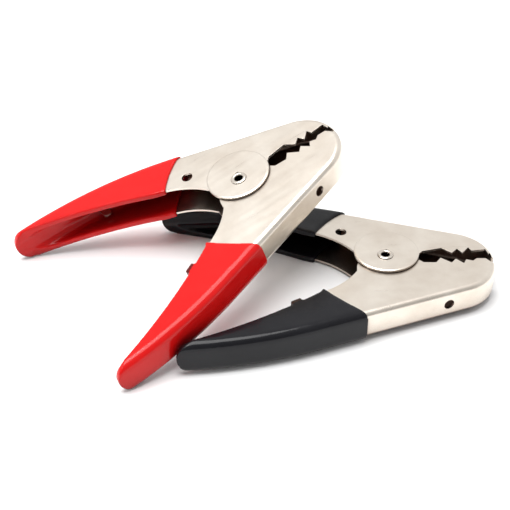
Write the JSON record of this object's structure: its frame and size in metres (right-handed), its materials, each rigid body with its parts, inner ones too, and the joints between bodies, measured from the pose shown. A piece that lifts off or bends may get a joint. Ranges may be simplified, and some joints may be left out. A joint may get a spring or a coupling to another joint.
{
  "type": "alligator clip pair",
  "caption": "Matched red and black spring clips with toothed plated jaws, hollow rivet pivots, torsion springs and dipped grips, for clamping test leads to terminals.",
  "frame": {"origin": "centre of the black clip's rivet, on its axis, midway between the cheeks", "axes": "+Z along the black clip's rivet axis, upwards as it lies on its side; +X parallel to its jaw line, towards the nose; +Y towards its upper lever"},
  "size_m": [0.192, 0.1044, 0.0548],
  "materials": {
    "plated_steel": "polished",
    "rivet_steel": "polished",
    "spring_steel": "satin",
    "black_vinyl": "gloss",
    "red_vinyl": "gloss"
  },
  "bodies": {
    "black_clip": {"black_upper_lever": "plated_steel", "black_pivot_rivet": "rivet_steel", "black_torsion_spring": "spring_steel", "black_upper_grip": "black_vinyl"},
    "black_lower_jaw": {"black_lower_lever": "plated_steel", "black_lower_grip": "black_vinyl"},
    "red_clip": {"red_upper_lever": "plated_steel", "red_pivot_rivet": "rivet_steel", "red_torsion_spring": "spring_steel", "red_upper_grip": "red_vinyl"},
    "red_lower_jaw": {"red_lower_lever": "plated_steel", "red_lower_grip": "red_vinyl"}
  },
  "joints": [
    {"name": "black_jaw_hinge", "type": "hinge", "parent": "black_clip", "child": "black_lower_jaw", "pos_m": [0, 0, 0], "axis": [0, 0, -1], "range_deg": [0, 36], "deforming": ["black_torsion_spring"]},
    {"name": "red_push_off", "type": "slide", "parent": "black_clip", "child": "red_clip", "axis": [-0.1718, 0.5726, 0.8016], "range_m": [0, 0.092]},
    {"name": "red_jaw_hinge", "type": "hinge", "parent": "red_clip", "child": "red_lower_jaw", "pos_m": [-0.0548, 0.0202, 0.02595], "axis": [0.2913, 0.1735, -0.9408], "range_deg": [0, 36], "deforming": ["red_torsion_spring"]}
  ],
  "couplings": [
    {"joint": "red_push_off", "follows": "black_jaw_hinge", "m_per_rad": 0.145}
  ]
}
